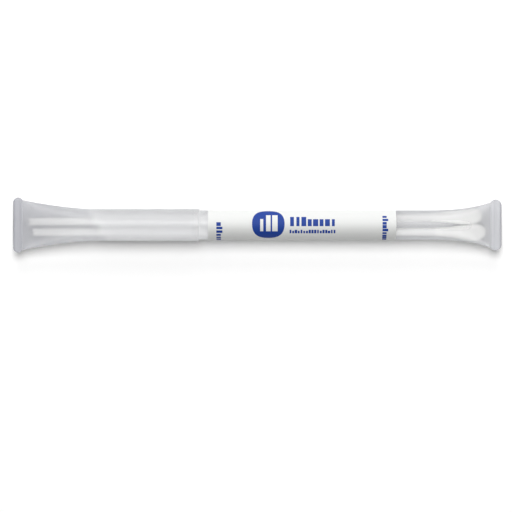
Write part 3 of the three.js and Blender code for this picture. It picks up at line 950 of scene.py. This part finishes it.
def print_row(tree, along_row, across_row, start, count, pitch, middle, height, fill, seed):
    """A row of plain printed blocks: 1 on a block and 0 beside it. Widths and heights vary from
    block to block."""
    from_start = add_node(tree, "ShaderNodeMath", (along_row, start), operation="SUBTRACT")
    cell = add_node(tree, "ShaderNodeMath", (from_start, pitch), operation="DIVIDE")
    index = add_node(tree, "ShaderNodeMath", (cell,), operation="FLOOR")
    in_cell = add_node(tree, "ShaderNodeMath", (cell,), operation="FRACT")
    seeded = add_node(tree, "ShaderNodeMath", (index, seed), operation="ADD")
    dice = add_node(tree, "ShaderNodeTexWhiteNoise", {
        "W": seeded,
    }, noise_dimensions="1D").outputs["Value"]
    in_row = add_node(tree, "ShaderNodeMath", (
        index, (count - 1) / 2, count / 2 - 0.25,
    ), operation="COMPARE")
    half_width = add_node(tree, "ShaderNodeMath", (
        dice, BLOCK_WIDTH_SPREAD * fill, (1 - BLOCK_WIDTH_SPREAD) / 2 * fill,
    ), operation="MULTIPLY_ADD")
    in_width = add_node(tree, "ShaderNodeMath", (in_cell, 0.5, half_width), operation="COMPARE")
    stirred = add_node(tree, "ShaderNodeMath", (dice, 7.3), operation="MULTIPLY")
    second_dice = add_node(tree, "ShaderNodeMath", (stirred,), operation="FRACT")
    tall = add_node(tree, "ShaderNodeMath", (
        second_dice, 1 - TALL_BLOCKS,
    ), operation="GREATER_THAN")
    top = add_node(tree, "ShaderNodeMath", (
        tall, TALL_BLOCK_RISE * height, middle + height / 2,
    ), operation="MULTIPLY_ADD")
    over_foot = add_node(tree, "ShaderNodeMath", (
        across_row, middle - height / 2,
    ), operation="GREATER_THAN")
    under_top = add_node(tree, "ShaderNodeMath", (across_row, top), operation="LESS_THAN")
    block = in_row
    for condition in (in_width, over_foot, under_top):
        block = add_node(tree, "ShaderNodeMath", (block, condition), operation="MULTIPLY")
    return block


def badge_field(tree, along_label, around):
    """A rounded field of colour, 1 inside it and 0 outside."""
    bulge = 0.0
    for place, centre, half in zip((along_label, around), BADGE_MIDDLE, BADGE_HALF_SIZE):
        off = add_node(tree, "ShaderNodeMath", (place, centre), operation="SUBTRACT")
        share = add_node(tree, "ShaderNodeMath", (off, half), operation="DIVIDE")
        size = add_node(tree, "ShaderNodeMath", (share,), operation="ABSOLUTE")
        power = add_node(tree, "ShaderNodeMath", (size, BADGE_SQUARENESS), operation="POWER")
        bulge = add_node(tree, "ShaderNodeMath", (bulge, power), operation="ADD")
    return add_node(tree, "ShaderNodeMath", (bulge, 1.0), operation="LESS_THAN")


def label_print(tree, x, around):
    """Where the ink lies: 1 on it and 0 on bare paper."""
    badge = badge_field(tree, x, around)
    bars = print_row(tree, x, around, *BADGE_BARS)
    inked = add_node(tree, "ShaderNodeMath", (badge, bars), operation="SUBTRACT")
    downwards = add_node(tree, "ShaderNodeMath", (around, -1.0), operation="MULTIPLY")
    for along_row, across_row, row in (
        (x, around, HEADING),
        (x, around, SMALL_PRINT),
        (downwards, x, WORDS_BY_CAP),
        (downwards, x, WORDS_BY_BUDS),
    ):
        blocks = print_row(tree, along_row, across_row, *row)
        inked = add_node(tree, "ShaderNodeMath", (inked, blocks), operation="MAXIMUM")
    return inked


def label_paper():
    """Satin coated label paper: white, a shade warm, with its fibres just felt under the coating,
    and one blue ink laid down in fields and blocks, a little more matt than the bare paper."""
    made = new_material("paper_coated_offset_printed")
    tree = made.node_tree
    unrolled = add_node(tree, "ShaderNodeUVMap", uv_map="paper")
    girth = 2 * math.pi * (TUBE_RADIUS + LABEL_GAP + LABEL_THICKNESS)
    in_mm = add_node(tree, "ShaderNodeMapping", {
        "Vector": unrolled,
        "Location": (LABEL_START_X, -girth / 2, 0),
        "Scale": (LABEL_END_X - LABEL_START_X, girth, 1),
    })
    place = add_node(tree, "ShaderNodeSeparateXYZ", (in_mm,)).outputs
    inked = label_print(tree, place["X"], place["Y"])
    fibre = add_node(tree, "ShaderNodeTexNoise", {
        "Vector": in_mm, "Scale": 1 / PAPER_FIBRE, "Detail": 4.0,
    })
    speckle = add_node(tree, "ShaderNodeTexNoise", {
        "Vector": in_mm, "Scale": 1 / INK_SPECKLE, "Detail": 2.0,
    })
    paper_tone = add_node(tree, "ShaderNodeMix", {
        0: fibre, 6: linear("#dcdddb"), 7: linear("#e3e4e3"),
    }, data_type="RGBA").outputs[2]
    ink_tone = add_node(tree, "ShaderNodeMix", {
        0: speckle, 6: linear("#0a348a"), 7: linear("#113f98"),
    }, data_type="RGBA").outputs[2]
    tone = add_node(tree, "ShaderNodeMix", {
        0: inked, 6: paper_tone, 7: ink_tone,
    }, data_type="RGBA").outputs[2]
    roughness = add_node(tree, "ShaderNodeMapRange", {
        "Value": inked, "To Min": 0.52, "To Max": 0.62,
    })
    bump = add_node(tree, "ShaderNodeBump", {
        "Height": fibre, "Strength": 0.1, "Distance": 0.05 * MM,
    })
    shader = add_node(tree, "ShaderNodeBsdfPrincipled", {
        "Base Color": tone, "Roughness": roughness, "IOR": 1.4, "Normal": bump,
    })
    add_node(tree, "ShaderNodeOutputMaterial", {"Surface": shader})
    return made


def polystyrene_rod():
    """White polystyrene, extruded: a soft gloss over flow lines drawn out along the rod, with
    faint cloudy changes in its whiteness."""
    made = new_material("polystyrene_extruded_rod")
    tree = made.node_tree
    flow = grain(tree, FLOW_LINE_CELL)
    bump = add_node(tree, "ShaderNodeBump", {
        "Height": flow, "Strength": 0.2, "Distance": 0.03 * MM,
    })
    tone = add_node(tree, "ShaderNodeMix", {
        0: flow, 6: linear("#d2d2d1"), 7: linear("#dadad9"),
    }, data_type="RGBA").outputs[2]
    roughness = add_node(tree, "ShaderNodeMapRange", {
        "Value": flow, "To Min": 0.34, "To Max": 0.46,
    })
    shader = add_node(tree, "ShaderNodeBsdfPrincipled", {
        "Base Color": tone, "Roughness": roughness, "IOR": 1.59, "Normal": bump,
    })
    add_node(tree, "ShaderNodeOutputMaterial", {"Surface": shader})
    return made


def wound_cotton():
    """Absorbent cotton wound on the shaft: matt and white, with fine fibres lying in two
    directions round the bud and soft lumps where the lap is thicker."""
    made = new_material("cotton_wound_fibre")
    tree = made.node_tree
    strands = [
        grain(tree, STRAND_CELL, detail=4.0, turn=lean, distortion=0.6) for lean in (0.5, -0.6)
    ]
    fibre = add_node(tree, "ShaderNodeMath", strands, operation="MAXIMUM")
    lumps = grain(tree, COTTON_LUMP_CELL, detail=2.0)
    height = add_node(tree, "ShaderNodeMath", (lumps, 1.5, fibre), operation="MULTIPLY_ADD")
    bump = add_node(tree, "ShaderNodeBump", {
        "Height": height, "Strength": 0.5, "Distance": 0.06 * MM,
    })
    tone = add_node(tree, "ShaderNodeMix", {
        0: fibre, 6: linear("#e6e6e4"), 7: linear("#f6f6f5"),
    }, data_type="RGBA").outputs[2]
    shader = add_node(tree, "ShaderNodeBsdfPrincipled", {
        "Base Color": tone, "Roughness": 0.95, "Sheen Weight": 0.2, "Normal": bump,
    })
    add_node(tree, "ShaderNodeOutputMaterial", {"Surface": shader})
    return made


def dress(piece, material, body, *nodes):
    """Gives a piece its material, unless its fibres brought one, and its body, and hides the CAD
    nodes it stands for.
    """
    if not piece.data.materials:
        piece.data.materials.append(material)
    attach(piece, body)
    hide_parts(*nodes)


# ------------------------ stage

def make_floor():
    """A matt white table three metres square, with a faint glow that keeps it white."""
    mesh = bpy.data.meshes.new("floor")
    half = 1.5
    corners = [(-half, -half, 0), (half, -half, 0), (half, half, 0), (-half, half, 0)]
    mesh.from_pydata(corners, [], [(0, 1, 2, 3)])
    floor = bpy.data.objects.new("floor", mesh)
    bpy.context.scene.collection.objects.link(floor)
    made = new_material("white_acrylic_table")
    tree = made.node_tree
    shader = add_node(tree, "ShaderNodeBsdfPrincipled", {
        "Base Color": linear("#fafafa"),
        "Roughness": 0.7,
        "Emission Color": linear("#ffffff"),
        "Emission Strength": 0.104,
    })
    add_node(tree, "ShaderNodeOutputMaterial", {"Surface": shader})
    floor.data.materials.append(made)


def softbox(name, lean, size, power, lit=()):
    """A square softbox 1.5 m away, leaning so many degrees from overhead towards +Y. Where
    pieces are given, it lights only those."""
    data = bpy.data.lights.new(name, "AREA")
    data.shape = "SQUARE"
    data.size = size
    data.energy = power
    light = bpy.data.objects.new(name, data)
    lean = math.radians(lean)
    away = 1.5
    light.location = (0, away * math.sin(lean), away * math.cos(lean))
    light.rotation_euler = (-lean, 0, 0)
    light.visible_camera = False
    bpy.context.scene.collection.objects.link(light)
    if lit:
        receivers = bpy.data.collections.new(f"lit_by_{name}")
        for piece in lit:
            receivers.objects.link(piece)
        light.light_linking.receiver_collection = receivers


def make_studio(flagged):
    """Two softboxes on the +Y side and a weak fill on the other, and on that side a large softbox
    too, flagged so that it reaches only the plastic and what lies inside it."""
    scene = bpy.context.scene
    world = bpy.data.worlds.new("studio")
    world.use_nodes = True
    world.node_tree.nodes["Background"].inputs["Color"].default_value = (1, 1, 1, 1)
    world.node_tree.nodes["Background"].inputs["Strength"].default_value = 0.12
    scene.world = world
    softbox("overhead_softbox", lean=19, size=0.83, power=17.4)
    softbox("low_softbox", lean=62, size=0.75, power=8.6)
    softbox("fill_softbox", lean=-25, size=0.8, power=1.9)
    softbox("side_softbox", lean=-60, size=1.2, power=16.0, lit=flagged)
    scene.view_settings.view_transform = "Standard"
    scene.cycles.max_bounces = 24
    scene.cycles.transmission_bounces = 24
    scene.cycles.diffuse_bounces = 8
    scene.cycles.transparent_max_bounces = 48


def make_camera():
    """Straight above the tube, with its view's top towards +Y."""
    data = bpy.data.cameras.new("camera")
    height = 0.9
    frame_width = 0.1719
    middle = (-0.00045, -0.0104)
    data.sensor_width = 36
    data.lens = height * data.sensor_width / frame_width
    camera = bpy.data.objects.new("camera", data)
    camera.location = (*middle, AXIS_Z * MM + height)
    bpy.context.scene.collection.objects.link(camera)
    bpy.context.scene.camera = camera


# ------------------------ the dressed part

make_camera()
make_floor()

# The deep colours carry painted shade as well as the plastic's grey, and the last number is painted
# shade along each wall's outline.
TUBE_PP = frosted_polypropylene("polypropylene_extruded_tube", "#eaebed", "#aeafb5", 0.1)
CAP_PP = frosted_polypropylene("polypropylene_extruded_cap", "#f0f1f3", "#a6a7ae", 0.06)
PAPER = label_paper()
FILM = clear_film()
ROD = polystyrene_rod()
COTTON = wound_cotton()
FIBRES = fibre_nodes()

tube_shell = make_tube()
cap_shell = make_cap()
grade_tube(tube_shell)
grade_cap(cap_shell)
plastic_and_contents = [tube_shell, cap_shell]
dress(tube_shell, TUBE_PP, "tube_body", "tube")
dress(cap_shell, CAP_PP, "cap_body", "cap")
dress(make_label(), PAPER, "tube_body", "label")
dress(make_film_on_cap(), FILM, "cap_body", "seal_film_cap_side")
dress(make_film_on_tube(), FILM, "tube_body", "seal_film_tube_side")
for swab_name, swab_facts in SWABS.items():
    bud = make_bud(swab_name, swab_facts)
    wind_fibres(bud, FIBRES, COTTON)
    shaft = make_shaft(swab_name, swab_facts)
    dress(shaft, ROD, "tube_body", f"{swab_name}_shaft")
    dress(bud, COTTON, "tube_body", f"{swab_name}_bud")
    plastic_and_contents += [shaft, bud]
make_studio(plastic_and_contents)
